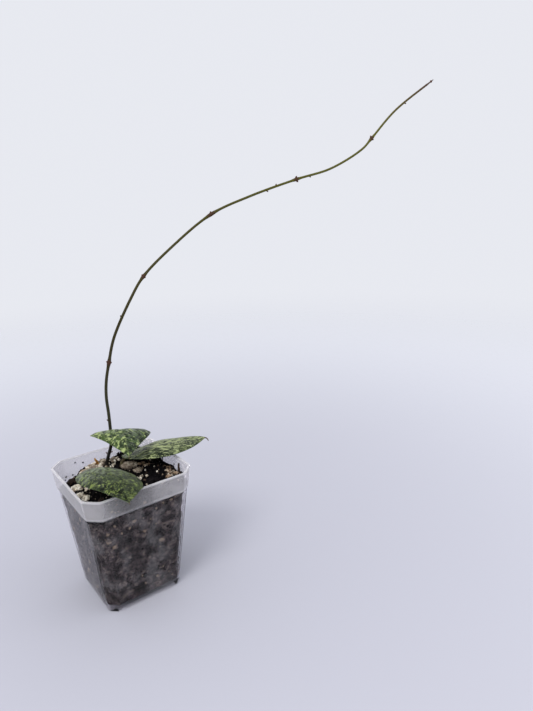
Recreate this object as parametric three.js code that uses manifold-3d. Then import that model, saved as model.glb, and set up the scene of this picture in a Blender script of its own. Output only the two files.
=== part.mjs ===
// Potted hoya wibergiae: a square frosted pot, its potting mix and one climbing vine with three leaves.
// Millimetres, +Z up. The origin is the middle of the pot's foot, on the surface that the pot stands on.
// X runs to the right along the pot's front and Y runs back.

import * as THREE from 'three';
import { mergeVertices } from 'three/addons/utils/BufferGeometryUtils.js';
import Module from 'manifold-3d';

const wasm = await Module();
wasm.setup();

// Driving dimensions of the pot

const POT_HEIGHT = 82;
const RIM_WIDTH = 70;
const RIM_LEDGE = 0.3;
const RIM_DEPTH = 0.8;
const RIM_SLOPE = 0.1;
const COLLAR_HEIGHT = 13;
const COLLAR_FOOT_WIDTH = 66.7;
const BODY_TOP_WIDTH = 65;
const BODY_FOOT_WIDTH = 50.2;
const RIM_CORNER_CUT = 7.8;
const COLLAR_CORNER_CUT = 7.2;
const BODY_CORNER_CUT = 6.5;
const CORNER_ROUND = 1.5;
const STEP_HEIGHT = 0.6;
const STEP_INSIDE_DROP = 0.4;
const WALL = 0.9;
const FOOT_HEIGHT = 3.6;
const FOOT_GAP_TOP = 35;
const FOOT_GAP_BOTTOM = 39;
const HUB_RADIUS = 4;
const HUB_CLEARANCE = 0.8;
const DRAIN_RADIUS = 2.5;
const DRAIN_RING_RADIUS = 13;
const DRAIN_COUNT = 8;
const HOLE_SIDES = 24;
const CUT_OVER = 1;

// Driving dimensions of what the pot holds

const CLEARANCE = 0.3;
const LUMP_CLEARANCE = 0.5;
const STEM_FOOT_RADIUS = 1.15;
const STEM_TIP_RADIUS = 0.65;
const STEM_TAPER_POWER = 0.8;
const STEM_SIDES = 8;
const STEM_STEPS = 96;
const GROWING_TIP_LENGTH = 9;
const GROWING_TIP_SHARE = 0.35;
const BUD_LEAN = 0.7;
const BUD_SEAT = 0.6;
const BLADE_THICKNESS = 0.8;
const BLADE_STATIONS = 18;
const BLADE_END_HALF_WIDTH = 0.45;
const MIDRIB_DEPTH = 0.35;
const MIDRIB_HALF_SHARE = 0.1;
const STALK_SIDES = 6;
const ROOT_CROWN_RADIUS = 2.4;
const MIX_LOW = 67.5;
const MIX_RISE_RIGHT = 8.8;
const MIX_RISE_FROM_LEFT = -24;
const MIX_RISE_RIGHT_SPAN = 56;
const MIX_RISE_BACK = 4.6;
const MIX_RISE_BACK_SPAN = 28;
const MIX_HEAP_FROM_LEFT = -26;
const MIX_HEAP_LEFT_SPAN = 16;
const MIX_DROP_RIGHT = 2.2;
const MIX_DROP_FROM = 24;
const MIX_DROP_SPAN = 8;
const MIX_AT_FRONT_WALL = 68;
const FRONT_WALL_Y = -32;
const FRONT_SLOPE_SPAN = 10;
const CLUMP_HEIGHT = 2.2;
const CLUMP_SPAN = 6.5;
const CRUMB_HEIGHT = 1.5;
const CRUMB_SPAN = 2.6;
const MIX_GRID = 2.4;
const POT_INSIDE_SPAN = 72;
const FINE_LUMP_SIZE = 4;
const LUMP_UNEVENNESS = 0.28;
const LUMP_TILT = 16;
const LUMP_STANDING_SHARE = 0.22;

const up = new THREE.Vector3(0, 0, 1);

const materials = {
  pot: { color: 0xc8cad1, roughness: 0.4, transparent: true, opacity: 0.5 },
  mix: { color: 0x1d1a1a, roughness: 0.95 },
  stem: { color: 0x565a31, roughness: 0.6 },
  root: { color: 0xc9bda0, roughness: 0.8 },
  leaf: { color: 0x5c7a4a, roughness: 0.35 },
  pumice: { color: 0xd8d2c8, roughness: 0.95 },
  stone: { color: 0xa08c80, roughness: 0.9 },
  bark: { color: 0x8a6f55, roughness: 0.9 },
  dark_bark: { color: 0x3a2a22, roughness: 0.9 },
  dried: { color: 0x9a5f24, roughness: 0.8 },
};
for (const [name, look] of Object.entries(materials)) {
  materials[name] = new THREE.MeshStandardMaterial({ metalness: 0, name, ...look });
}

// Solids and meshes

function solid(geometry) {
  const bare = geometry.clone();
  bare.deleteAttribute('normal');
  bare.deleteAttribute('uv');
  const merged = mergeVertices(bare, 1e-4);
  return new wasm.Manifold(new wasm.Mesh({
    numProp: 3,
    vertProperties: Float32Array.from(merged.attributes.position.array),
    triVerts: Uint32Array.from(merged.index.array),
  }));
}

function geometryOf(body) {
  const { vertProperties, triVerts } = body.getMesh();
  const geometry = new THREE.BufferGeometry();
  geometry.setAttribute('position', new THREE.BufferAttribute(Float32Array.from(vertProperties), 3));
  geometry.setIndex(new THREE.BufferAttribute(Uint32Array.from(triVerts), 1));
  geometry.computeVertexNormals();
  return geometry;
}

function unite(bodies) {
  return bodies.reduce((whole, body) => whole.add(body));
}

function cutAway(body, tools) {
  return tools.reduce((rest, tool) => rest.subtract(tool), body);
}

// A closed skin over rings of points. Each ring turns to the right about the way the rings advance.
// swapped(j) tells the columns whose quads are split along their other diagonal.
function skin(rings, swapped = () => false) {
  const count = rings[0].length;
  const positions = rings.flat();
  const faces = [];
  for (let i = 0; i + 1 < rings.length; i += 1) {
    for (let j = 0; j < count; j += 1) {
      const next = (j + 1) % count;
      const a = i * count + j;
      const b = i * count + next;
      const c = a + count;
      const d = b + count;
      if (swapped(j)) faces.push(a, b, c, b, d, c);
      else faces.push(a, b, d, a, d, c);
    }
  }
  const capAt = (ring, first, flipped) => {
    const middle = positions.length;
    const centre = new THREE.Vector3();
    for (const point of ring) centre.add(point);
    positions.push(centre.divideScalar(count));
    for (let j = 0; j < count; j += 1) {
      const a = first + j;
      const b = first + ((j + 1) % count);
      if (flipped) faces.push(middle, b, a);
      else faces.push(middle, a, b);
    }
  };
  capAt(rings[0], 0, true);
  capAt(rings.at(-1), (rings.length - 1) * count, false);
  const geometry = new THREE.BufferGeometry().setFromPoints(positions);
  geometry.setIndex(faces);
  return geometry;
}

// A closed round tube along a curve, whose radius follows radiusAt(share of the length).
function tube(curve, radiusAt, sides, steps) {
  const circle = new THREE.EllipseCurve(0, 0, 1, 1, 0, 2 * Math.PI);
  const section = new THREE.Shape(circle.getPoints(sides).slice(0, -1));
  const geometry = new THREE.ExtrudeGeometry(section, { steps, extrudePath: curve, bevelEnabled: false });
  const stations = curve.getSpacedPoints(steps);
  const position = geometry.attributes.position;
  const point = new THREE.Vector3();
  for (let k = 0; k < position.count; k += 1) {
    point.fromBufferAttribute(position, k);
    const distances = stations.map((station) => station.distanceToSquared(point));
    const nearest = distances.indexOf(Math.min(...distances));
    point.sub(stations[nearest]).multiplyScalar(radiusAt(nearest / steps)).add(stations[nearest]);
    position.setXYZ(k, point.x, point.y, point.z);
  }
  return geometry;
}

function curveThrough(points) {
  return new THREE.CatmullRomCurve3(points.map((point) => new THREE.Vector3(...point)));
}

function smooth(share) {
  return THREE.MathUtils.smoothstep(share, 0, 1);
}

// Pot

// A square with its corners cut and slightly rounded, as a ring of points at a height.
function squareRing({ width, cut, z }) {
  const half = width / 2;
  const reach = half - cut;
  const corners = [
    [half, -reach], [half, reach], [reach, half], [-reach, half],
    [-half, reach], [-half, -reach], [-reach, -half], [reach, -half],
  ].map(([x, y]) => new THREE.Vector3(x, y, z));
  return corners.flatMap((corner, k) => {
    const before = corners[(k + 7) % 8].clone().sub(corner).setLength(CORNER_ROUND).add(corner);
    const after = corners[(k + 1) % 8].clone().sub(corner).setLength(CORNER_ROUND).add(corner);
    const middle = before.clone().add(after).add(corner).add(corner).divideScalar(4);
    return [before, middle, after];
  });
}

function inset(section, depth, lift = 0) {
  const cut = section.cut - depth * (2 - Math.SQRT2);
  return { width: section.width - 2 * depth, cut, z: section.z + lift };
}

function bodySectionAt(z) {
  const share = z / (POT_HEIGHT - COLLAR_HEIGHT - STEP_HEIGHT);
  return { width: THREE.MathUtils.lerp(BODY_FOOT_WIDTH, BODY_TOP_WIDTH, share), cut: BODY_CORNER_CUT, z };
}

const stepTop = POT_HEIGHT - COLLAR_HEIGHT;
const stepFoot = stepTop - STEP_HEIGHT;
const rimWidthBelowLedge = RIM_WIDTH - 2 * RIM_LEDGE;
const collarFoot = { width: COLLAR_FOOT_WIDTH, cut: COLLAR_CORNER_CUT, z: stepTop };
const collarTop = { width: rimWidthBelowLedge, cut: RIM_CORNER_CUT, z: POT_HEIGHT - RIM_DEPTH };
const rimFoot = { width: RIM_WIDTH, cut: RIM_CORNER_CUT, z: POT_HEIGHT - RIM_DEPTH + RIM_SLOPE };
const rimTop = { width: RIM_WIDTH, cut: RIM_CORNER_CUT, z: POT_HEIGHT };

function cavitySections(floorZ, depth, lift) {
  return [
    inset(bodySectionAt(floorZ), depth),
    inset(bodySectionAt(stepFoot), depth, lift - STEP_INSIDE_DROP),
    inset(collarFoot, depth, lift),
    inset({ ...collarTop, z: POT_HEIGHT + CUT_OVER }, depth),
  ];
}

// The bars of free space between the feet, grown by grow on each side.
function footGaps(grow) {
  const topHalf = FOOT_GAP_TOP / 2 + grow;
  const bottomHalf = FOOT_GAP_BOTTOM / 2 + grow;
  const spread = (bottomHalf - topHalf) / FOOT_HEIGHT;
  const profile = new THREE.Shape([
    new THREE.Vector2(-bottomHalf - spread * CUT_OVER, -CUT_OVER),
    new THREE.Vector2(bottomHalf + spread * CUT_OVER, -CUT_OVER),
    new THREE.Vector2(topHalf - spread * grow, FOOT_HEIGHT + grow),
    new THREE.Vector2(-topHalf + spread * grow, FOOT_HEIGHT + grow),
  ]);
  const bar = new THREE.ExtrudeGeometry(profile, { depth: 2 * RIM_WIDTH, bevelEnabled: false });
  bar.translate(0, 0, -RIM_WIDTH);
  bar.rotateX(Math.PI / 2);
  const across = bar.clone().rotateZ(Math.PI / 2);
  return solid(bar).add(solid(across));
}

function uprightCylinder(x, y, radius, bottom, top) {
  const cylinder = new THREE.CylinderGeometry(radius, radius, top - bottom, HOLE_SIDES);
  cylinder.rotateX(Math.PI / 2);
  cylinder.translate(x, y, (top + bottom) / 2);
  return solid(cylinder);
}

function makePot() {
  const outerSections = [bodySectionAt(0), bodySectionAt(stepFoot), collarFoot, collarTop, rimFoot, rimTop];
  const outer = solid(skin(outerSections.map(squareRing)));
  const deepCavity = solid(skin(cavitySections(WALL, WALL, 0).map(squareRing)));
  const cavity = deepCavity.subtract(footGaps(WALL));
  const drains = Array.from({ length: DRAIN_COUNT }, (_, k) => {
    const angle = (k + 0.5) * (2 * Math.PI / DRAIN_COUNT);
    const x = DRAIN_RING_RADIUS * Math.cos(angle);
    const y = DRAIN_RING_RADIUS * Math.sin(angle);
    return uprightCylinder(x, y, DRAIN_RADIUS, 0, FOOT_HEIGHT + 2 * WALL);
  });
  const hub = uprightCylinder(0, 0, HUB_RADIUS, HUB_CLEARANCE, FOOT_HEIGHT + WALL / 2);
  return cutAway(outer, [footGaps(0), cavity, ...drains]).add(hub);
}

// Vine: buried foot, five long internodes and the growing tip

const vineRoute = [
  [-3, 22, 48], [-2, 22.5, 60], [0, 24, 75], [4.5, 24.5, 87], [5.5, 25.5, 93], [7, 29, 106],
  [8, 32.5, 118.5], [10, 34.5, 128.5], [13.5, 35.5, 140], [19, 36.5, 155.5], [32, 32, 181.5],
  [42, 32, 194.5], [61.5, 27.5, 212], [85.5, 12.5, 233], [106, -3, 243.5], [134.5, -17.5, 253.5],
  [156.5, -28, 260], [173, -40.5, 271.5], [179, -43, 278], [193.5, -50, 295], [219, -60.5, 314.5],
];
const vineCurve = curveThrough(vineRoute);
const vineLength = vineCurve.getLength();

// Swollen joints of the stem: a point on the route, the extra radius and the length of the swelling.
const stemNodes = [
  { at: [-0.8, 23.4, 70], swell: 0.6, reach: 3 },
  { at: [5.5, 25.5, 93], swell: 0.45, reach: 2.2 },
  { at: [13.5, 35.5, 140], swell: 0.4, reach: 2.4 },
  { at: [42, 32, 194.5], swell: 0.35, reach: 2.4 },
  { at: [85.5, 12.5, 233], swell: 0.45, reach: 4 },
  { at: [134.5, -17.5, 253.5], swell: 0.4, reach: 2.4 },
  { at: [179, -43, 278], swell: 0.4, reach: 2.2 },
];

// Small buds, scars and dry barbs on the stem: height or reach along it, side and size.
const left = [-0.8, 0.6, 0];
const right = [0.8, -0.6, 0];
const below = [0.3, 0, -1];
const above = [-0.3, 0, 1];
const stemBuds = [
  { at: [2.2, 24.2, 81], towards: left, length: 3, radius: 0.45 },
  { at: [2.8, 24.3, 82.5], towards: right, length: 2.6, radius: 0.4 },
  { at: [6.2, 28.3, 103], towards: left, length: 1.8, radius: 0.6 },
  { at: [13.5, 35.5, 140], towards: left, length: 1.6, radius: 0.7 },
  { at: [13.5, 35.5, 140], towards: right, length: 1.6, radius: 0.7 },
  { at: [25.5, 35, 169], towards: left, length: 1.6, radius: 0.55 },
  { at: [42, 32, 194.5], towards: above, length: 1.6, radius: 0.6 },
  { at: [42, 32, 194.5], towards: below, length: 1.6, radius: 0.6 },
  { at: [85.5, 12.5, 233], towards: above, length: 1.7, radius: 0.7 },
  { at: [116, -9, 247.5], towards: below, length: 1.9, radius: 0.55 },
  { at: [121.5, -12, 249.5], towards: above, length: 1.7, radius: 0.5 },
  { at: [134.5, -17.5, 253.5], towards: above, length: 2.2, radius: 0.7 },
  { at: [134.5, -17.5, 253.5], towards: below, length: 2.2, radius: 0.7 },
  { at: [142.5, -22.5, 255.5], towards: below, length: 1.6, radius: 0.5 },
  { at: [179, -43, 278], towards: above, length: 2, radius: 0.6 },
  { at: [179, -43, 278], towards: below, length: 1.8, radius: 0.6 },
  { at: [200, -52.5, 300], towards: below, length: 1.8, radius: 0.5 },
];

function shareNearest(curve, place, samples = 800) {
  const target = new THREE.Vector3(...place);
  const distances = curve.getSpacedPoints(samples).map((point) => point.distanceToSquared(target));
  return distances.indexOf(Math.min(...distances)) / samples;
}

for (const node of stemNodes) node.share = shareNearest(vineCurve, node.at);

function stemRadius(share) {
  const along = share * vineLength;
  const plain = THREE.MathUtils.lerp(STEM_FOOT_RADIUS, STEM_TIP_RADIUS, share ** STEM_TAPER_POWER);
  const swollen = stemNodes.reduce((sum, node) => {
    const offset = (along - node.share * vineLength) / node.reach;
    return sum + node.swell * Math.exp(-offset * offset);
  }, plain);
  const tipTaper = Math.min(1, GROWING_TIP_SHARE + (vineLength - along) / GROWING_TIP_LENGTH);
  return swollen * tipTaper;
}

function stemTube(extra) {
  return solid(tube(vineCurve, (share) => stemRadius(share) + extra, STEM_SIDES, STEM_STEPS));
}

// A ball that clears the square end of a tube whose radius there is given.
function endBall([x, y, z], radius) {
  const reach = 1.15 * (radius + CLEARANCE);
  return solid(new THREE.SphereGeometry(reach, 6, 4).translate(x, y, z));
}

// A pointed oval bud that leans along the stem and is sunk into it.
function makeBud({ at, towards, length, radius }) {
  const share = shareNearest(vineCurve, at);
  const along = vineCurve.getTangentAt(share);
  const side = new THREE.Vector3(...towards);
  side.addScaledVector(along, -side.dot(along)).normalize();
  const lean = side.clone().addScaledVector(along, BUD_LEAN).normalize();
  const bud = new THREE.SphereGeometry(1, 6, 5);
  bud.scale(radius, length / 2, radius);
  bud.applyQuaternion(new THREE.Quaternion().setFromUnitVectors(new THREE.Vector3(0, 1, 0), lean));
  const root = vineCurve.getPointAt(share).addScaledVector(side, stemRadius(share) * BUD_SEAT);
  root.addScaledVector(lean, length * BUD_SEAT / 2);
  bud.translate(root.x, root.y, root.z);
  return solid(bud);
}

function makeVine() {
  return unite([stemTube(0), ...stemBuds.map(makeBud)]);
}

const stemClear = stemTube(CLEARANCE).add(endBall(vineRoute[0], STEM_FOOT_RADIUS));

// Leaves

const bladeColumns = [-1, -0.75, -0.45, -0.14, 0, 0.14, 0.45, 0.75, 1];

// Half-width share of a blade: nothing at its base and tip, one at its widest.
function bladeOutline(u, shoulder, taper) {
  const widest = shoulder / (shoulder + taper);
  const peak = widest ** shoulder * (1 - widest) ** taper;
  return (u ** shoulder * (1 - u) ** taper) / peak;
}

// One blade: it arches across, turns about its midrib and carries a keel below the midrib.
function makeBlade({ midrib, width, roll, twist, shoulder, taper, arch, wave }) {
  const curve = new THREE.CatmullRomCurve3(
    midrib.map((point) => new THREE.Vector3(...point)), false, 'catmullrom', 0.5,
  );
  const rings = [];
  for (let i = 0; i <= BLADE_STATIONS; i += 1) {
    const u = 0.5 - 0.5 * Math.cos(Math.PI * i / BLADE_STATIONS);
    const centre = curve.getPoint(u);
    const along = curve.getTangent(u);
    const level = along.clone().cross(up).normalize();
    const turn = THREE.MathUtils.degToRad(roll + twist * u);
    const side = level.applyAxisAngle(along, -turn);
    const normal = side.clone().cross(along);
    const reach = bladeOutline(u, shoulder, taper);
    const halfWidth = Math.max(BLADE_END_HALF_WIDTH, reach * width / 2);
    const pointAt = (v, face) => {
      const ripple = wave * v * v * Math.sin(9 * u + 2 * v);
      const groove = MIDRIB_DEPTH * Math.exp(-((v / MIDRIB_HALF_SHARE) ** 2)) * reach;
      const keel = face < 0 ? groove * 2 : groove;
      const height = face * BLADE_THICKNESS / 2 - keel - arch * v * v * reach * reach + ripple * reach;
      return centre.clone().addScaledVector(side, v * halfWidth).addScaledVector(normal, height);
    };
    const top = bladeColumns.map((v) => pointAt(v, 1));
    const bottom = bladeColumns.toReversed().map((v) => pointAt(v, -1));
    rings.push([...top, ...bottom]);
  }
  return solid(skin(rings, (column) => column >= bladeColumns.length));
}

function makeStalk({ points, radii, steps = 10 }) {
  const radiusAt = (share) => THREE.MathUtils.lerp(...radii, share);
  return solid(tube(curveThrough(points), radiusAt, STALK_SIDES, steps));
}

// The hole that a stalk needs: the same route, wider all round and past both ends.
function stalkHole(stalk) {
  const { points, radii } = stalk;
  const wider = makeStalk({ ...stalk, radii: radii.map((radius) => radius + CLEARANCE) });
  return unite([wider, endBall(points[0], radii[0]), endBall(points.at(-1), radii[1])]);
}

const leaves = {
  leaf_upper: {
    midrib: [[7.8, 21.5, 95.3], [7.5, 12.1, 101.3], [5, 0.5, 100.1], [0.1, -16.2, 94.4]],
    width: 38.5, roll: 9.6, twist: 0, shoulder: 0.71, taper: 1.23, arch: 1.9, wave: 0.3,
    petiole: {
      points: [[5.5, 25.5, 92.6], [7, 23.4, 93.2], [7.8, 21, 95.2], [7.9, 17, 98.4]],
      radii: [1.2, 0.8],
    },
    thread: [[0.5, -15, 94.9], [-0.2, -16.8, 94.1], [-0.5, -17.5, 93.6]],
  },
  leaf_front: {
    midrib: [[-4.1, 11.8, 78.2], [-11.5, -10.7, 88], [-13.6, -34.4, 89.5], [-15.6, -48.8, 84.3]],
    width: 36.8, roll: 12.5, twist: 2.6, shoulder: 0.62, taper: 1.01, arch: 5, wave: 0.3,
    petiole: {
      points: [[-1.2, 23.4, 70], [-4.4, 21.8, 71.6], [-5, 17, 74.4], [-4.3, 12, 78], [-5.4, 7.4, 80.8]],
      radii: [1.3, 0.9],
    },
    thread: [[-15.4, -47.6, 84.8], [-15.7, -49.2, 84], [-15.8, -49.8, 83.5]],
  },
  leaf_right: {
    midrib: [[9.4, 20.1, 78.9], [24.7, 6, 86.9], [40.1, -3.3, 88.4], [56.7, -9.6, 88.4]],
    width: 30, roll: 5.6, twist: -4.5, shoulder: 0.72, taper: 0.84, arch: 3, wave: 0.25,
    petiole: {
      points: [[-0.8, 23.4, 70], [3.4, 20.8, 70], [6.2, 16.6, 72.8], [8.4, 17.2, 76.8], [12.9, 17, 80.4]],
      radii: [1.4, 1],
    },
    thread: [[55.4, -9.2, 88.5], [57.4, -10.6, 88], [58.2, -11.6, 86]],
  },
};

function makeLeaf(leaf) {
  const thread = makeStalk({ points: leaf.thread, radii: [0.5, 0.3], steps: 5 });
  return makeBlade(leaf).add(makeStalk(leaf.petiole)).add(thread).subtract(stemClear);
}

// Roots: pale strands that spread from the stem's buried foot

const rootRoutes = [
  [[-3, 22, 48], [-9, 17, 42], [-17, 8, 34], [-21, -4, 24], [-15, -15, 15]],
  [[-3, 22, 48], [2, 14, 41], [8, 3, 33], [9, -10, 24], [1, -18, 14]],
  [[-3, 22, 48], [4, 23, 40], [14, 20, 32], [20, 10, 22], [17, -3, 13]],
  [[-3, 22, 48], [-6, 24, 38], [-13, 20, 27], [-16, 11, 17], [-10, 3, 9]],
  [[-3, 22, 48], [0, 23, 36], [4, 18, 24], [3, 8, 14], [8, 1, 8]],
];

const rootStalks = rootRoutes.map((points) => ({ points, radii: [0.9, 0.45], steps: 9 }));

function rootCrown(grow) {
  const [x, y, z] = vineRoute[0];
  return solid(new THREE.SphereGeometry(ROOT_CROWN_RADIUS + grow, 8, 6).translate(x, y, z - 1));
}

// Potting mix

// Repeatable numbers between 0 and 1.
function seeded(seed) {
  let state = seed;
  return () => {
    state = (state * 1664525 + 1013904223) % 4294967296;
    return state / 4294967296;
  };
}

function latticeValue(i, j, seed) {
  const mixed = Math.sin(i * 127.1 + j * 311.7 + seed * 74.7) * 43758.5453;
  return mixed - Math.floor(mixed);
}

function valueNoise(x, y, seed) {
  const i = Math.floor(x);
  const j = Math.floor(y);
  const fx = smooth(x - i);
  const fy = smooth(y - j);
  const near = THREE.MathUtils.lerp(latticeValue(i, j, seed), latticeValue(i + 1, j, seed), fx);
  const far = THREE.MathUtils.lerp(latticeValue(i, j + 1, seed), latticeValue(i + 1, j + 1, seed), fx);
  return THREE.MathUtils.lerp(near, far, fy) - 0.5;
}

// Height of the mix: low at the left and along the front wall, high behind the stem and short of the right wall.
function mixLevel(x, y) {
  const toRight = smooth((x - MIX_RISE_FROM_LEFT) / MIX_RISE_RIGHT_SPAN);
  const heap = smooth(y / MIX_RISE_BACK_SPAN) * smooth((x - MIX_HEAP_FROM_LEFT) / MIX_HEAP_LEFT_SPAN);
  const drop = MIX_DROP_RIGHT * smooth((x - MIX_DROP_FROM) / MIX_DROP_SPAN);
  const level = MIX_LOW + MIX_RISE_RIGHT * toRight + MIX_RISE_BACK * heap * (1 - toRight) - drop;
  const offFrontWall = smooth((y - FRONT_WALL_Y) / FRONT_SLOPE_SPAN);
  return THREE.MathUtils.lerp(Math.min(level, MIX_AT_FRONT_WALL), level, offFrontWall);
}

function mixHeight(x, y) {
  const clumps = CLUMP_HEIGHT * valueNoise(x / CLUMP_SPAN, y / CLUMP_SPAN, 1);
  const crumbs = CRUMB_HEIGHT * valueNoise(x / CRUMB_SPAN, y / CRUMB_SPAN, 2);
  return mixLevel(x, y) + clumps + crumbs;
}

function makeMix(holes) {
  const cells = POT_INSIDE_SPAN / MIX_GRID;
  const field = new THREE.BoxGeometry(POT_INSIDE_SPAN, POT_INSIDE_SPAN, 2, cells, cells, 1);
  const position = field.attributes.position;
  for (let k = 0; k < position.count; k += 1) {
    const onTop = position.getZ(k) > 0;
    position.setZ(k, onTop ? mixHeight(position.getX(k), position.getY(k)) : -5);
  }
  const floorZ = FOOT_HEIGHT + WALL + CLEARANCE;
  const inside = solid(skin(cavitySections(floorZ, WALL + CLEARANCE, 0.25).map(squareRing)));
  return cutAway(solid(field).intersect(inside), holes);
}

// Lumps and chips that lie in the surface of the mix: place, size along X, Y and Z, turn in degrees.
const lumps = {
  pumice: [
    { x: -24, y: 15.7, size: [8, 5.6, 4.8], turn: 10 },
    { x: -19.4, y: 10.6, size: [3.6, 3.4, 3.2], turn: 40 },
    { x: -25.8, y: 5.7, size: [4.6, 4.4, 4], turn: 70 },
    { x: -23.6, y: 0, size: [5.2, 4.6, 4], turn: 20 },
    { x: 3.9, y: 21.2, size: [3.2, 3.2, 3], turn: 15 },
    { x: -11.1, y: 29, size: [4, 3.4, 3.2], turn: 60 },
    { x: -9.2, y: 25.2, size: [3, 2.6, 2.4], turn: 0 },
    { x: 13.2, y: -8.4, size: [2.4, 2.2, 2], turn: 30 },
    { x: 9.4, y: -7.6, size: [2.2, 2, 2], turn: 80 },
  ],
  stone: [
    { x: 10.6, y: 11.6, size: [11.2, 6, 5.4], turn: -18 },
    { x: 12.3, y: 2.4, size: [6, 4, 3.2], turn: -30 },
    { x: 5.6, y: 26.8, size: [4.6, 3.6, 3.6], turn: 35 },
    { x: -0.4, y: 30.2, size: [4.4, 2.4, 4], turn: -15 },
  ],
  bark: [
    { x: 20.4, y: 2, size: [7.6, 2.4, 1.8], turn: -38 },
    { x: 17.6, y: 8.6, size: [5.4, 2.6, 1.8], turn: -20 },
    { x: 25.2, y: -15.6, size: [5.4, 3, 2.6], turn: -60 },
    { x: 22, y: -21.4, size: [4.2, 3, 2.4], turn: 25 },
    { x: 27.3, y: -20.1, size: [4.4, 2.8, 2.6], turn: -15 },
    { x: -14.2, y: 30, size: [4, 2.8, 2.4], turn: 30 },
  ],
  dark_bark: [
    { x: -23.3, y: 27.2, size: [6, 4.6, 4.6], turn: 35 },
    { x: -6.4, y: 30, size: [5, 3, 3.4], turn: 20 },
    { x: -16.4, y: -7.4, size: [4, 3, 2.4], turn: 50 },
    { x: -9, y: -14, size: [3.4, 2.8, 2.2], turn: 5 },
    { x: 20, y: 16.6, size: [5, 3.4, 2.8], turn: -10 },
  ],
};

function lumpShape({ size, turn, x, y }, seed, grow) {
  const draw = seeded(seed);
  const detail = Math.max(...size) > FINE_LUMP_SIZE ? 1 : 0;
  const ball = new THREE.IcosahedronGeometry(0.5, detail);
  const shape = mergeVertices(ball.deleteAttribute('normal').deleteAttribute('uv'));
  const position = shape.attributes.position;
  const point = new THREE.Vector3();
  for (let k = 0; k < position.count; k += 1) {
    point.fromBufferAttribute(position, k).multiplyScalar(1 + LUMP_UNEVENNESS * (draw() - 0.5));
    position.setXYZ(k, point.x, point.y, point.z);
  }
  const [length, depth, height] = size.map((side) => side + 2 * grow);
  shape.scale(length, depth, height);
  shape.rotateY(THREE.MathUtils.degToRad(LUMP_TILT * (draw() - 0.5)));
  shape.rotateZ(THREE.MathUtils.degToRad(turn));
  shape.translate(x, y, mixLevel(x, y) + size[2] * LUMP_STANDING_SHARE);
  return solid(shape);
}

const lumpBodies = Object.entries(lumps).flatMap(([kind, list], row) => list.map((lump, k) => {
  const seed = 1000 * (row + 1) + 37 * k;
  const body = lumpShape(lump, seed, 0);
  return { name: `${kind}_${k + 1}`, kind, body, clear: lumpShape(lump, seed, LUMP_CLEARANCE) };
}));

// Twig that leans on the right wall, and the dried shoot beside the stem

const twig = {
  points: [[30.2, -20.4, 70], [31, -19.6, 74.4], [30.9, -18.6, 77.4], [31.8, -17.4, 80.6]],
  radii: [1, 0.7],
};
const shoot = {
  points: [[-5.2, 26.6, 68], [-5.5, 27, 72], [-5.4, 27.2, 74.8], [-5.6, 27.4, 77.6]],
  radii: [0.75, 0.45],
};

// A dried scale leaf: a pointed oval, thin across.
function driedScale([x, y, z], lean, turn) {
  const scale = new THREE.SphereGeometry(1, 6, 5).scale(1.1, 0.4, 2.2);
  scale.rotateX(THREE.MathUtils.degToRad(lean));
  scale.rotateZ(THREE.MathUtils.degToRad(turn));
  scale.translate(x, y, z);
  return solid(scale);
}

function makeDriedShoot() {
  const scales = [
    driedScale([-6.2, 26.8, 75.9], 30, 60),
    driedScale([-4.8, 27.2, 76.3], -34, 20),
    driedScale([-5.7, 27.4, 78.2], -20, 110),
  ];
  return unite([makeStalk(shoot), ...scales]);
}

// The whole object

const potted = new THREE.Group();

function place(name, body, material) {
  const mesh = new THREE.Mesh(geometryOf(body), materials[material]);
  mesh.name = name;
  potted.add(mesh);
}

const roots = unite([rootCrown(0), ...rootStalks.map(makeStalk)]).subtract(stemClear);
const buriedStalks = [...rootStalks, twig, shoot, leaves.leaf_front.petiole, leaves.leaf_right.petiole];
const holes = [
  stemClear,
  rootCrown(CLEARANCE),
  ...buriedStalks.map(stalkHole),
  ...lumpBodies.map(({ clear }) => clear),
];

place('pot', makePot(), 'pot');
place('potting_mix', makeMix(holes), 'mix');
place('vine', makeVine(), 'stem');
place('roots', roots, 'root');
for (const [name, leaf] of Object.entries(leaves)) place(name, makeLeaf(leaf), 'leaf');
for (const { name, kind, body } of lumpBodies) place(name, body, kind);
place('twig', makeStalk(twig), 'dark_bark');
place('dried_shoot', makeDriedShoot(), 'dried');

export default potted;
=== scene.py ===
# Potted hoya wibergiae: the looks of a square frosted pot, its potting mix and one vine with three leaves.
# Metres, +Z up. Shapes are written in millimetres and scaled by MM.

import math
import random
from bisect import bisect_right

import bmesh
import bpy
from mathutils import Euler, Matrix, Vector, noise


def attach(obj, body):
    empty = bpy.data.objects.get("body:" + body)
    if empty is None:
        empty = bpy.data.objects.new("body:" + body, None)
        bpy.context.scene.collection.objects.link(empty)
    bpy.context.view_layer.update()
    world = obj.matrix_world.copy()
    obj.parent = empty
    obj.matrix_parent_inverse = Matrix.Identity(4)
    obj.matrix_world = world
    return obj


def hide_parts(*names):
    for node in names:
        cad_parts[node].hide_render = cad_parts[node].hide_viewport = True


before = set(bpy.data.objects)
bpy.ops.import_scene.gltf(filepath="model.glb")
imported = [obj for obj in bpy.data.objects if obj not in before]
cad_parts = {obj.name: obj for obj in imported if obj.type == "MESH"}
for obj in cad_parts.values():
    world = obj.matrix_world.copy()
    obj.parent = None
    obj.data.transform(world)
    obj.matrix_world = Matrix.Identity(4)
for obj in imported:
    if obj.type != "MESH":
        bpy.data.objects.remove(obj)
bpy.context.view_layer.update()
scene = bpy.context.scene

MM = 0.001
UP = Vector((0, 0, 1))
BODY = "root"

# Driving dimensions in millimetres, as in the part's own source

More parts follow.
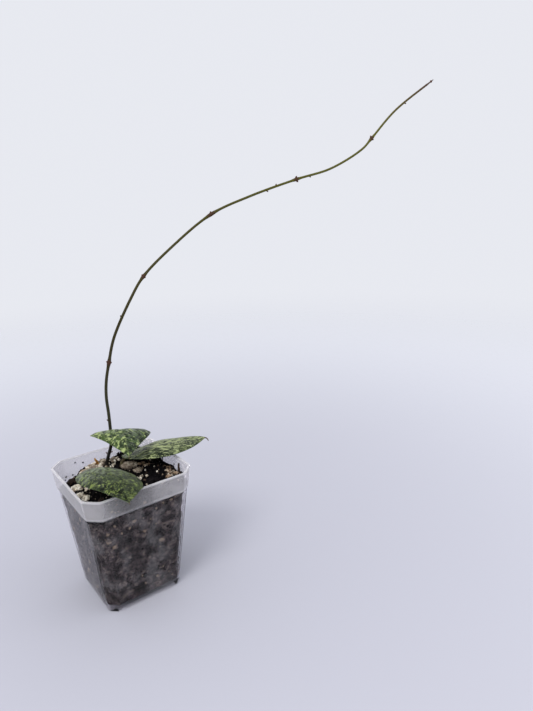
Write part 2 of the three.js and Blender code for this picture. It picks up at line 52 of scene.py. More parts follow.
POT_HEIGHT = 82
RIM_WIDTH = 70
RIM_LEDGE = 0.3
COLLAR_HEIGHT = 13
COLLAR_FOOT_WIDTH = 66.7
BODY_TOP_WIDTH = 65
BODY_FOOT_WIDTH = 50.2
STEP_HEIGHT = 0.6
RIM_CORNER_CUT = 7.8
COLLAR_CORNER_CUT = 7.2
BODY_CORNER_CUT = 6.5
CORNER_ROUND = 1.5
WALL = 0.9
FOOT_HEIGHT = 3.6
MIX_GAP = 0.3
STEM_FOOT_RADIUS = 1.15
STEM_TIP_RADIUS = 0.65
STEM_TAPER_POWER = 0.8
GROWING_TIP_LENGTH = 9
GROWING_TIP_SHARE = 0.35
BUD_LEAN = 0.7
BUD_SEAT = 0.6
BLADE_THICKNESS = 0.8
BLADE_END_HALF_WIDTH = 0.45
MIDRIB_DEPTH = 0.35
MIDRIB_HALF_SHARE = 0.1
MIX_LOW = 67.5
MIX_RISE_RIGHT = 8.8
MIX_RISE_FROM_LEFT = -24
MIX_RISE_RIGHT_SPAN = 56
MIX_RISE_BACK = 4.6
MIX_RISE_BACK_SPAN = 28
MIX_HEAP_FROM_LEFT = -26
MIX_HEAP_LEFT_SPAN = 16
MIX_DROP_RIGHT = 2.2
MIX_DROP_FROM = 24
MIX_DROP_SPAN = 8
MIX_AT_FRONT_WALL = 68
FRONT_WALL_Y = -32
FRONT_SLOPE_SPAN = 10
CLUMP_HEIGHT = 2.2
CLUMP_SPAN = 6.5
CRUMB_HEIGHT = 1.5
CRUMB_SPAN = 2.6
MIX_FLOOR = FOOT_HEIGHT + WALL + MIX_GAP
STEP_Z = POT_HEIGHT - COLLAR_HEIGHT


def linked(name, data):
    thing = bpy.data.objects.new(name, data)
    scene.collection.objects.link(thing)
    return thing


# Camera

IMAGE_HEIGHT = 711
FOCAL_PIXELS = 550
SENSOR = 36
CAMERA_PLACE = Vector((-115.66, -308.88, 237.52))
CAMERA_FORWARD = Vector((0.5823, 0.7692, -0.2633))
CAMERA_RIGHT = Vector((0.7915, -0.6103, -0.0322))


def make_camera():
    data = bpy.data.cameras.new("camera")
    data.sensor_width = SENSOR
    data.lens = SENSOR * FOCAL_PIXELS / IMAGE_HEIGHT
    data.clip_start = 0.01
    data.clip_end = 50
    camera = linked("camera", data)
    forward = CAMERA_FORWARD.normalized()
    right = (CAMERA_RIGHT - forward * CAMERA_RIGHT.dot(forward)).normalized()
    upward = right.cross(forward)
    turn = Matrix((right, upward, -forward)).transposed()
    camera.matrix_world = Matrix.Translation(CAMERA_PLACE * MM) @ turn.to_4x4()
    scene.camera = camera


# Colours and finishes


def colour(red, green, blue):
    """An sRGB colour, 0 to 255, as the linear colour that a shader takes."""
    linear = []
    for channel in (red, green, blue):
        value = channel / 255
        linear.append(value / 12.92 if value <= 0.04045 else ((value + 0.055) / 1.055) ** 2.4)
    return (*linear, 1)


class Finish:
    """One Principled material, and the few kinds of node that its patterns are built from."""

    def __init__(self, name, **constants):
        self.material = bpy.data.materials.new(name)
        self.material.use_nodes = True
        self.tree = self.material.node_tree
        self.surface = self.tree.nodes["Principled BSDF"]
        for socket, value in constants.items():
            self.surface.inputs[socket.replace("_", " ")].default_value = value

    def node(self, kind, inputs, **settings):
        node = self.tree.nodes.new("ShaderNode" + kind)
        for key, value in settings.items():
            setattr(node, key, value)
        for socket, value in inputs.items():
            if isinstance(value, bpy.types.NodeSocket):
                self.tree.links.new(value, node.inputs[socket])
            else:
                node.inputs[socket].default_value = value
        return node

    def feed(self, socket, source):
        self.tree.links.new(source, self.surface.inputs[socket])

    def stretched(self, vector, scale):
        return self.node("Mapping", {"Vector": vector, "Scale": scale}).outputs[0]

    def place(self, stretch=(1, 1, 1)):
        """The point on the object in millimetres, stretched along the axes."""
        point = self.node("TexCoord", {}).outputs["Object"]
        return self.stretched(point, [share / MM for share in stretch])

    def skin_place(self):
        """The point on the skin from its UV map, in millimetres."""
        point = self.node("TexCoord", {}).outputs["UV"]
        return self.stretched(point, (UV_SPAN, UV_SPAN, 1))

    def noise(self, vector, size, detail=3, rough=0.55, warp=0):
        """A cloudy pattern from 0 to 1, whose marks are about size millimetres wide."""
        inputs = {
            "Vector": vector, "Scale": 1 / size, "Detail": detail, "Roughness": rough, "Distortion": warp,
        }
        return self.node("TexNoise", inputs).outputs[0]

    def cells(self, vector, size):
        """The distance to the nearest of many scattered points."""
        return self.node("TexVoronoi", {"Vector": vector, "Scale": 1 / size}).outputs["Distance"]

    def band(self, source, low, high, start=0, end=1):
        """Runs smoothly from start to end while the source runs from low to high."""
        inputs = {"Value": source, "From Min": low, "From Max": high, "To Min": start, "To Max": end}
        return self.node("MapRange", inputs, interpolation_type="SMOOTHSTEP").outputs[0]

    def math(self, operation, first, second=0.0):
        return self.node("Math", {0: first, 1: second}, operation=operation).outputs[0]

    def blend(self, factor, first, second):
        inputs = {0: factor, 6: first, 7: second}
        return self.node("Mix", inputs, data_type="RGBA").outputs[2]

    def axes(self, vector):
        return self.node("SeparateXYZ", {0: vector}).outputs

    def ramp(self, source, stops):
        """Runs through shades, each an sRGB colour with its place from 0 to 1."""
        node = self.node("ValToRGB", {0: source})
        elements = node.color_ramp.elements
        for place, _ in stops[2:]:
            elements.new(place)
        for element, (place, shade) in zip(elements, sorted(stops)):
            element.position = place
            element.color = colour(*shade)
        return node.outputs[0]

    def bump(self, height, depth, strength=1.0, below=None):
        inputs = {"Height": height, "Distance": depth * MM, "Strength": strength}
        if below:
            inputs["Normal"] = below
        return self.node("Bump", inputs).outputs[0]


# Skins store the way along and across them in their UV map, in units of this many millimetres.
UV_SPAN = 100


# Curves


def spline_at(points, share, even=False):
    """A point on a Catmull-Rom curve, centripetal unless even is set."""
    last = len(points) - 1
    place = min(max(share, 0), 1) * last
    index = min(int(place), last - 1)
    weight = place - index
    p1, p2 = points[index], points[index + 1]
    p0 = points[index - 1] if index else 2 * p1 - p2
    p3 = points[index + 2] if index + 2 <= last else 2 * p2 - p1
    if even:
        start, finish = (p2 - p0) / 2, (p3 - p1) / 2
    else:
        d0, d1, d2 = (math.sqrt((b - a).length) for a, b in ((p0, p1), (p1, p2), (p2, p3)))
        start = ((p1 - p0) / d0 - (p2 - p0) / (d0 + d1) + (p2 - p1) / d1) * d1
        finish = ((p2 - p1) / d1 - (p3 - p1) / (d1 + d2) + (p3 - p2) / d2) * d1
    square = weight * weight
    cube = square * weight
    return (
        p1 * (2 * cube - 3 * square + 1) + start * (cube - 2 * square + weight)
        + p2 * (3 * square - 2 * cube) + finish * (cube - square)
    )


class Path:
    """A smooth route that is read by the share of its length."""

    def __init__(self, points, samples=400):
        points = [Vector(point) for point in points]
        self.places = [spline_at(points, k / samples) for k in range(samples + 1)]
        self.lengths = [0.0]
        for before, after in zip(self.places, self.places[1:]):
            self.lengths.append(self.lengths[-1] + (after - before).length)
        self.length = self.lengths[-1]
        self.tangents = []
        for k in range(len(self.places)):
            ahead = self.places[min(k + 1, len(self.places) - 1)]
            behind = self.places[max(k - 1, 0)]
            self.tangents.append((ahead - behind).normalized())
        # A sideways direction is carried along the route without twist
        side = self.tangents[0].orthogonal().normalized()
        self.sides = []
        for tangent in self.tangents:
            side = (side - tangent * side.dot(tangent)).normalized()
            self.sides.append(side)

    def at(self, share):
        """The place, the tangent and two directions across the route."""
        target = min(max(share, 0), 1) * self.length
        high = min(bisect_right(self.lengths, target), len(self.lengths) - 1)
        low = high - 1
        step = self.lengths[high] - self.lengths[low]
        weight = (target - self.lengths[low]) / step if step else 0
        place = self.places[low].lerp(self.places[high], weight)
        tangent = self.tangents[low].lerp(self.tangents[high], weight).normalized()
        side = self.sides[low].lerp(self.sides[high], weight)
        side = (side - tangent * side.dot(tangent)).normalized()
        return place, tangent, side, tangent.cross(side)

    def nearest(self, place):
        place = Vector(place)
        index = min(range(len(self.places)), key=lambda k: (self.places[k] - place).length_squared)
        return self.lengths[index] / self.length


# Mesh helpers

# In metres: how near the points of a skin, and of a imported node, are merged
SKIN_MERGE = 1e-7
MERGE_DISTANCE = 2e-6


def as_mesh(name, mesh_data):
    """Turns a bmesh into a mesh and frees it."""
    mesh = bpy.data.meshes.new(name)
    mesh_data.to_mesh(mesh)
    mesh_data.free()
    return mesh


def finished_piece(name, mesh_data, finishes, replaced=()):
    """Turns a bmesh into a piece of the object that rides on its body."""
    mesh = as_mesh(name, mesh_data)
    for finish in finishes:
        mesh.materials.append(finish.material)
    piece = linked(name, mesh)
    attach(piece, BODY)
    if replaced:
        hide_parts(*replaced)


def add_closed_skin(target, rows, columns, point_at, uv_at=None, finish_at=None):
    """Adds a closed skin to target: a grid wrapped round its columns and closed at both ends.

    For two shares from 0 to 1, row and column, point_at gives the place in millimetres, uv_at the way along
    and across the skin, and finish_at the number of the finish.
    """
    part = bmesh.new()
    uv_layer = part.loops.layers.uv.new("UVMap")
    bmesh.ops.create_grid(part, x_segments=rows, y_segments=columns, size=0.5)
    shares = {vert: (vert.co.x + 0.5, vert.co.y + 0.5) for vert in part.verts}
    for face in part.faces:
        face.smooth = True
        middle = face.calc_center_median()
        if finish_at:
            face.material_index = finish_at(middle.x + 0.5, middle.y + 0.5)
        for loop in face.loops:
            loop[uv_layer].uv = uv_at(*shares[loop.vert]) if uv_at else shares[loop.vert]
    for vert, (row, column) in shares.items():
        vert.co = point_at(row, column) * MM
    bmesh.ops.remove_doubles(part, verts=part.verts, dist=SKIN_MERGE)
    ends = [edge for edge in part.edges if edge.is_boundary]
    if ends:
        bmesh.ops.holes_fill(part, edges=ends, sides=0)
    bmesh.ops.recalc_face_normals(part, faces=part.faces)
    join_into(target, part)


def smooth_faces(mesh_data):
    for face in mesh_data.faces:
        face.smooth = True


def packed_mesh(name):
    """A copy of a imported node's mesh, with its points merged."""
    copy = bmesh.new()
    copy.from_mesh(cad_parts[name].data)
    bmesh.ops.remove_doubles(copy, verts=copy.verts, dist=MERGE_DISTANCE)
    return copy


def join_into(target, part):
    mesh = as_mesh("part", part)
    target.from_mesh(mesh)
    bpy.data.meshes.remove(mesh)


# The squared share of its radius that a rounded tube keeps at its very end
TUBE_END_SHARE = 0.02


def add_tube(target, path, radius_at, rows, columns, ends=0.0):
    """Adds a round tube along a path. Its ends are rounded over the given share of its length."""

    def point_at(row, column):
        place, _, side, other = path.at(row)
        angle = math.tau * column
        radius = radius_at(row)
        if ends:
            close = min(row, 1 - row) / ends
            radius *= math.sqrt(max(TUBE_END_SHARE, 1 - (1 - min(close, 1)) ** 2))
        return place + (side * math.cos(angle) + other * math.sin(angle)) * radius

    def uv_at(row, column):
        return row * path.length / UV_SPAN, column * 0.1

    add_closed_skin(target, rows, columns, point_at, uv_at)


def smooth_share(share):
    share = min(max(share, 0), 1)
    return share * share * (3 - 2 * share)


def lerp(first, second, share):
    return first + (second - first) * share


# Pot outline


def corner_curve(before, corner, after, steps):
    for k in range(steps + 1):
        t = k / steps
        yield before * (1 - t) ** 2 + corner * 2 * t * (1 - t) + after * t * t


def square_outline(width, cut, steps=6):
    """A square with its corners cut and rounded, as a list of points in millimetres."""
    half = width / 2
    reach = half - cut
    corners = [
        (half, -reach), (half, reach), (reach, half), (-reach, half),
        (-half, reach), (-half, -reach), (-reach, -half), (reach, -half),
    ]
    corners = [Vector((x, y, 0)) for x, y in corners]
    outline = []
    for k, corner in enumerate(corners):
        before = corner + (corners[k - 1] - corner).normalized() * CORNER_ROUND
        after = corner + (corners[(k + 1) % 8] - corner).normalized() * CORNER_ROUND
        outline.extend(corner_curve(before, corner, after, steps))
    return outline


def evenly(outline, count):
    """Points spread evenly round a closed outline."""
    lengths = [0.0]
    for before, after in zip(outline, outline[1:] + outline[:1]):
        lengths.append(lengths[-1] + (after - before).length)
    places = []
    index = 0
    for k in range(count):
        target = lengths[-1] * k / count
        while lengths[index + 1] < target:
            index += 1
        share = (target - lengths[index]) / (lengths[index + 1] - lengths[index])
        places.append(outline[index].lerp(outline[(index + 1) % len(outline)], share))
    return places


def pot_section(z):
    """Outer width and corner cut of the pot at a height."""
    step_foot = STEP_Z - STEP_HEIGHT
    if z <= step_foot:
        return lerp(BODY_FOOT_WIDTH, BODY_TOP_WIDTH, z / step_foot), BODY_CORNER_CUT
    if z <= STEP_Z:
        share = (z - step_foot) / STEP_HEIGHT
        width = lerp(BODY_TOP_WIDTH, COLLAR_FOOT_WIDTH, share)
        return width, lerp(BODY_CORNER_CUT, COLLAR_CORNER_CUT, share)
    share = (z - STEP_Z) / COLLAR_HEIGHT
    top = RIM_WIDTH - 2 * RIM_LEDGE
    return lerp(COLLAR_FOOT_WIDTH, top, share), lerp(COLLAR_CORNER_CUT, RIM_CORNER_CUT, share)


def inner_half(z, gap):
    """Half the inner width at a height, less a gap, and its corner cut."""
    width, cut = pot_section(z)
    depth = WALL + gap
    return width / 2 - depth, cut - depth * (2 - math.sqrt(2))


# Finishes of the parts

# How much light the plastic scatters: all over, in the collar and at its corners, at the lip, along the
# collar's foot and where it is moist
BODY_HAZE = 0.012
COLLAR_HAZE = 0.09
CORNER_HAZE = 0.25
LIP_HAZE = 0.22
COLLAR_FOOT_HAZE = 0.08
MOIST_HAZE = 0.04
COLLAR_CLEAREST_X = -8
LIP_DEPTH = 1.4


def frosted_plastic():
    """Thin milky plastic, clearer in the body and cloudier in the collar."""
    finish = Finish("frosted_plastic", IOR=1.06, Base_Color=colour(238, 236, 238))
    place = finish.place()
    sideways, _, height = finish.axes(place)
    from_clearest = finish.math("ABSOLUTE", finish.math("SUBTRACT", sideways, COLLAR_CLEAREST_X))
    corners = finish.band(from_clearest, 4, 22, COLLAR_HAZE, CORNER_HAZE)
    collar = finish.math("MULTIPLY", finish.band(height, STEP_Z - 1.5, STEP_Z + 1), corners)
    lip = finish.band(height, POT_HEIGHT - LIP_DEPTH, POT_HEIGHT - LIP_DEPTH / 2, 0, LIP_HAZE)
    from_foot = finish.math("ABSOLUTE", finish.math("SUBTRACT", height, STEP_Z + 0.5))
    collar_foot = finish.band(from_foot, 0.4, 1.4, COLLAR_FOOT_HAZE, 0)
    moist = finish.band(finish.noise(finish.place((1, 1, 0.7)), 11, 3), 0.46, 0.62, 0, MOIST_HAZE)
    haze = collar
    for more in (lip, collar_foot, moist):
        haze = finish.math("ADD", haze, more)
    finish.feed("Transmission Weight", finish.math("SUBTRACT", 1 - BODY_HAZE, haze))
    finish.feed("Roughness", finish.band(finish.noise(place, 9, 3), 0.3, 0.7, 0.05, 0.12))
    ripple = finish.noise(finish.place((1, 1, 0.3)), 9, 2)
    finish.feed("Normal", finish.bump(ripple, 0.04, 0.5))
    return finish


# Near-black, used as painted shade in the holes of the mix and on its upward faces
PEAT_AND_SHADE_BLACK = colour(8, 6, 9)


def dark_mix():
    """Clumps and crumbs, black to grey brown behind the wall, with painted shade: black in the holes
    between the crumbs and nearly black on the open top, whose faces look up.
    """
    finish = Finish("dark_mix", Roughness=0.95, Specular_IOR_Level=0.1)
    place = finish.place()
    clumps = finish.noise(place, 4.4, 5, 0.66)
    crumbs = finish.noise(place, 1.1, 4, 0.65)
    stops = [
        (0.36, (19, 16, 17)), (0.47, (49, 44, 45)), (0.57, (86, 77, 78)), (0.7, (126, 116, 108)),
    ]
    shade = finish.ramp(clumps, stops)
    specks = finish.band(crumbs, 0.58, 0.68, 0, 0.55)
    shade = finish.blend(specks, shade, colour(118, 102, 90))
    # Painted shade: the holes between crumbs, where the bump sinks, turn black
    painted_shade_in_holes = finish.band(crumbs, 0.36, 0.48, 0.85, 0)
    shade = finish.blend(painted_shade_in_holes, shade, PEAT_AND_SHADE_BLACK)
    # Painted shade: faces that look up turn nearly black
    facing_up = finish.axes(finish.node("NewGeometry", {}).outputs["Normal"])[2]
    painted_shade_on_top = finish.band(facing_up, 0.1, 0.5, 0, 0.93)
    finish.feed("Base Color", finish.blend(painted_shade_on_top, shade, PEAT_AND_SHADE_BLACK))
    finish.feed("Normal", finish.bump(crumbs, 0.5))
    return finish


# Three shades of each kind of lump and crumb, and the size of its grain and its pits
LUMP_LOOKS = {
    "pumice": [(150, 128, 104), (228, 220, 202), (250, 246, 236), 0.5, 1.1],
    "stone": [(78, 66, 56), (150, 136, 120), (200, 190, 172), 0.5, 1.3],
    "bark": [(66, 48, 36), (132, 108, 86), (188, 166, 142), 0.4, 1.2],
    "dark_bark": [(22, 16, 14), (46, 34, 28), (84, 64, 48), 0.4, 1.2],
    "dried": [(78, 46, 22), (142, 96, 44), (196, 152, 72), 0.4, 1.2],
    "root": [(120, 102, 76), (170, 152, 120), (204, 190, 160), 0.4, 1.2],
    "crumb_brown": [(30, 22, 18), (56, 42, 34), (88, 70, 56), 0.4, 1],
    "crumb_pale": [(120, 104, 88), (168, 152, 132), (206, 194, 176), 0.4, 1],
}


def lump_finish(name):
    """Matte mineral or bark: three shades by a cloudy pattern, fine grain and small pits, with painted
    shade in the pits.
    """
    dark, middle, light, grain, pits = LUMP_LOOKS[name]
    finish = Finish(name, Roughness=0.9, Specular_IOR_Level=0.3)
    place = finish.place()
    cloud = finish.noise(place, 2.6, 4, 0.6)
    fine = finish.noise(place, grain, 3, 0.6)
    shade = finish.ramp(cloud, [(0.3, dark), (0.5, middle), (0.68, light)])
    pit_relief_and_painted_shade = finish.band(finish.cells(place, pits), 0.12, 0.34)
    # Painted shade: the pits take the dark shade
    finish.feed("Base Color", finish.blend(pit_relief_and_painted_shade, colour(*dark), shade))
    rough = finish.bump(pit_relief_and_painted_shade, 0.15, 0.8)
    finish.feed("Normal", finish.bump(fine, 0.2, 1.0, rough))
    return finish


def stem_finish():
    """Olive green that turns dark at the foot and reddish at the tip, brown at every node."""
    finish = Finish("stem_bark", Roughness=0.5, Specular_IOR_Level=0.2)
    way = finish.skin_place()
    along = finish.axes(way)[0]
    share = finish.math("DIVIDE", along, STEM.length)
    stops = [
        (0.0, (14, 11, 9)), (0.105, (16, 13, 9)), (0.15, (40, 42, 20)), (0.26, (46, 41, 10)),
        (0.5, (68, 64, 12)), (0.72, (84, 83, 16)), (0.88, (92, 90, 22)), (0.96, (84, 68, 34)),
        (1.0, (74, 46, 40)),
    ]
    base = finish.ramp(share, stops)
    place = finish.place()
    streaks = finish.noise(finish.stretched(way, (0.12, 8, 1)), 1, 3)
    shade = finish.blend(finish.band(streaks, 0.4, 0.7, 0, 0.5), base, colour(36, 26, 16))
    specks = finish.band(finish.cells(place, 1.6), 0.0, 0.22, 0.25, 0)
    shade = finish.blend(specks, shade, colour(112, 104, 66))
    for node_way, _, reach in NODE_WAYS:
        apart = finish.math("ABSOLUTE", finish.math("SUBTRACT", along, node_way))
        shade = finish.blend(finish.band(apart, 0.3 * reach, reach, 0.85, 0), shade, colour(66, 38, 26))
    finish.feed("Base Color", shade)
    finish.feed("Normal", finish.bump(finish.noise(place, 0.5, 3), 0.12))
    return finish


# The plant's smaller parts: roughness, shine, size and shades of the clouds, and size, detail and depth of
# the grain
PLANT_LOOKS = {
    "dry_bud": (0.75, 0.3, 0.9, [(0.35, (44, 26, 18)), (0.65, (98, 60, 40))], 0.9, 3, 0.15),
    "leaf_stalk": (
        0.6, 0.4, 1.4, [(0.3, (44, 30, 20)), (0.5, (70, 56, 30)), (0.72, (92, 92, 48))], 0.4, 2, 0.12,
    ),
    "leaf_underside": (0.55, 0.4, 6, [(0.35, (96, 116, 74)), (0.65, (128, 146, 98))], 0.8, 3, 0.1),
}


def plant_finish(name):
    roughness, shine, size, stops, grain, detail, depth = PLANT_LOOKS[name]
    finish = Finish(name, Roughness=roughness, Specular_IOR_Level=shine)
    place = finish.place()
    finish.feed("Base Color", finish.ramp(finish.noise(place, size, 3), stops))
    finish.feed("Normal", finish.bump(finish.noise(place, grain, detail), depth))
    return finish


def leaf_top(name, leaf):
    """Waxy blade: dark and lighter patches, flecks that follow the side veins, silver marks towards the
    base that also paint the sheen of the reflected sky, and painted light on one side.
    """
    finish = Finish(name, Roughness=0.4, Coat_Weight=0.05, Coat_Roughness=0.3, Specular_IOR_Level=0.08)
    dark, middle, fleck, silver_and_painted_sheen = [colour(*shade) for shade in leaf["shades"]]
    along, sideways, _ = finish.axes(finish.skin_place())
    across = finish.math("SUBTRACT", sideways, UV_SPAN / 2)
    outward = finish.math("ABSOLUTE", across)
    veinwise = finish.math("SUBTRACT", along, finish.math("MULTIPLY", outward, leaf["slant"]))
    flat = finish.node("CombineXYZ", {0: veinwise, 1: across, 2: leaf["pattern"]}).outputs[0]
    drawn = finish.stretched(flat, leaf["draw"])
    # Painted light: one side of the blade has lighter patches and more flecks
    lit = finish.band(finish.math("MULTIPLY", across, leaf["lit_side"]), -7, 9)
    crowd = finish.math("ADD", finish.band(finish.noise(flat, 6, 3), 0.4, 0.6), lit)
    patches = finish.math("ADD", finish.noise(flat, 4, 4, 0.6), finish.math("MULTIPLY", lit, 0.1))
    ground = finish.blend(finish.band(patches, 0.46, 0.6), dark, middle)
    # Silver marks towards the base, partly the leaf's own silver and partly a painted sheen of the
    # reflected sky
    near_base = finish.band(along, leaf["silver_and_sheen_end"] - 9, leaf["silver_and_sheen_end"] + 9, 1, 0.15)
    silver_and_sheen_marks = finish.band(finish.noise(drawn, 2.2, 4, 0.65), 0.47, 0.56, 0, leaf["silver_and_painted_sheen"])
    painted = finish.blend(finish.math("MULTIPLY", silver_and_sheen_marks, near_base), ground, silver_and_painted_sheen)
    for size, edge, spread, strength in leaf["flecks"]:
        grain = finish.noise(drawn, size, 3, 0.6, 0.2)
        pattern = finish.math("ADD", grain, finish.math("MULTIPLY", crowd, spread))
        mask = finish.band(pattern, edge, edge + 0.04, 0, strength)
        painted = finish.blend(mask, painted, fleck)
    gaps = finish.band(finish.noise(drawn, leaf["gap_size"], 3, 0.6), 0.38, 0.46, GAP_STRENGTH, 0)
    painted = finish.blend(gaps, painted, dark)
    rib = finish.band(outward, 0.1, 0.6, leaf["rib"], 0)
    painted = finish.blend(rib, painted, fleck)
    finish.feed("Base Color", painted)
    fine = finish.noise(drawn, 1.2, 3)
    veins = finish.node("TexWave", {"Vector": flat, "Scale": 0.2, "Distortion": 1.2, "Detail": 1})
    finish.feed("Normal", finish.bump(fine, 0.12, 0.8, finish.bump(veins.outputs[1], 0.2, 0.6)))
    return finish


# Pot

# Two faces of the pot count as one under the first angle. Over the second, their edge is softened.
FLAT_ANGLE = 0.1
SHARP_ANGLE = 25
EDGE_SOFTNESS = 0.18


def make_pot():
    """The moulded shell with every edge softened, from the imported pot's own form."""
    shell = packed_mesh("pot")
    flat = math.radians(FLAT_ANGLE)
    bmesh.ops.dissolve_limit(shell, angle_limit=flat, verts=shell.verts, edges=shell.edges)
    sharp = [edge for edge in shell.edges if edge.calc_face_angle(0) > math.radians(SHARP_ANGLE)]
    bmesh.ops.bevel(
        shell, geom=sharp, affect="EDGES", offset=EDGE_SOFTNESS * MM, offset_type="OFFSET", segments=2,
        profile=0.5, material=-1, clamp_overlap=True,
    )
    bmesh.ops.triangulate(shell, faces=[face for face in shell.faces if len(face.verts) > 4])
    finished_piece("pot_shell", shell, [frosted_plastic()], ["pot"])


# Vine


VINE_ROUTE = [
    (-3, 22, 48), (-2, 22.5, 60), (0, 24, 75), (4.5, 24.5, 87), (5.5, 25.5, 93), (7, 29, 106),
    (8, 32.5, 118.5), (10, 34.5, 128.5), (13.5, 35.5, 140), (19, 36.5, 155.5), (32, 32, 181.5),
    (42, 32, 194.5), (61.5, 27.5, 212), (85.5, 12.5, 233), (106, -3, 243.5), (134.5, -17.5, 253.5),
    (156.5, -28, 260), (173, -40.5, 271.5), (179, -43, 278), (193.5, -50, 295), (219, -60.5, 314.5),
]
STEM = Path(VINE_ROUTE, 1200)
# Swollen nodes of the stem: place, extra radius and length of the swelling
STEM_NODES = [
    ((-0.8, 23.4, 70), 0.6, 3), ((5.5, 25.5, 93), 0.45, 2.2), ((13.5, 35.5, 140), 0.4, 2.4),
    ((42, 32, 194.5), 0.35, 2.4), ((85.5, 12.5, 233), 0.45, 4), ((134.5, -17.5, 253.5), 0.4, 2.4),
    ((179, -43, 278), 0.4, 2.2),
]
NODE_WAYS = [(STEM.nearest(place) * STEM.length, swell, reach) for place, swell, reach in STEM_NODES]


def stem_radius(share):
    along = share * STEM.length
    plain = lerp(STEM_FOOT_RADIUS, STEM_TIP_RADIUS, share ** STEM_TAPER_POWER)
    swelling = sum(swell * math.exp(-(((along - way) / reach) ** 2)) for way, swell, reach in NODE_WAYS)
    tip_share = GROWING_TIP_SHARE + (STEM.length - along) / GROWING_TIP_LENGTH
    return (plain + swelling) * min(1, tip_share)


# Buds, scars and dry barbs on the stem: place, and then side, length and radius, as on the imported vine
LEFT, RIGHT, BELOW, ABOVE = (-0.8, 0.6, 0), (0.8, -0.6, 0), (0.3, 0, -1), (-0.3, 0, 1)
STEM_BUDS = {
    (2.2, 24.2, 81): [(LEFT, 3, 0.45)],
    (2.8, 24.3, 82.5): [(RIGHT, 2.6, 0.4)],
    (6.2, 28.3, 103): [(LEFT, 1.8, 0.6)],
    (13.5, 35.5, 140): [(LEFT, 1.6, 0.7), (RIGHT, 1.6, 0.7)],
    (25.5, 35, 169): [(LEFT, 1.6, 0.55)],
    (42, 32, 194.5): [(ABOVE, 1.6, 0.6), (BELOW, 1.6, 0.6)],
    (85.5, 12.5, 233): [(ABOVE, 1.7, 0.7)],
    (116, -9, 247.5): [(BELOW, 1.9, 0.55)],
    (121.5, -12, 249.5): [(ABOVE, 1.7, 0.5)],
    (134.5, -17.5, 253.5): [(ABOVE, 2.2, 0.7), (BELOW, 2.2, 0.7)],
    (142.5, -22.5, 255.5): [(BELOW, 1.6, 0.5)],
    (179, -43, 278): [(ABOVE, 2, 0.6), (BELOW, 1.8, 0.6)],
    (200, -52.5, 300): [(BELOW, 1.8, 0.5)],
}
# How much of a bud's width its pointed end loses
BUD_POINT = 0.55
# The bud at the growing tip: its radius, and how many radii it sits back from the tip
TIP_BUD = 0.8
TIP_BUD_DEPTH = 2.5


def add_bud(target, at, towards, length, radius):
    """A pointed bud with its base sunk into the stem."""
    share = STEM.nearest(at)
    place, along, _, _ = STEM.at(share)
    side = Vector(towards)
    side = (side - along * side.dot(along)).normalized()
    lean = (side + along * BUD_LEAN).normalized()
    bud = bmesh.new()
    bmesh.ops.create_icosphere(bud, subdivisions=2, radius=1)
    turn = UP.rotation_difference(lean)
    middle = place + side * (stem_radius(share) * BUD_SEAT) + lean * (length * BUD_SEAT / 2)
    for vert in bud.verts:
        slim = 1 - BUD_POINT * max(0, vert.co.z) ** 1.5
        local = Vector((vert.co.x * radius * slim, vert.co.y * radius * slim, vert.co.z * length / 2))
        vert.co = (middle + turn @ local) * MM
    smooth_faces(bud)
    join_into(target, bud)


def make_vine():
    vine = bmesh.new()
    add_tube(vine, STEM, stem_radius, rows=620, columns=14)
    finished_piece("vine_stem", vine, [stem_finish()], ["vine"])
    buds = bmesh.new()
    for at, group in STEM_BUDS.items():
        for bud in group:
            add_bud(buds, at, *bud)
    tip, along, _, _ = STEM.at(1)
    place = Matrix.Translation((tip - along * TIP_BUD * TIP_BUD_DEPTH) * MM)
    bmesh.ops.create_icosphere(buds, subdivisions=2, radius=TIP_BUD * MM, matrix=place)
    smooth_faces(buds)
    finished_piece("vine_buds", buds, [plant_finish("dry_bud")])
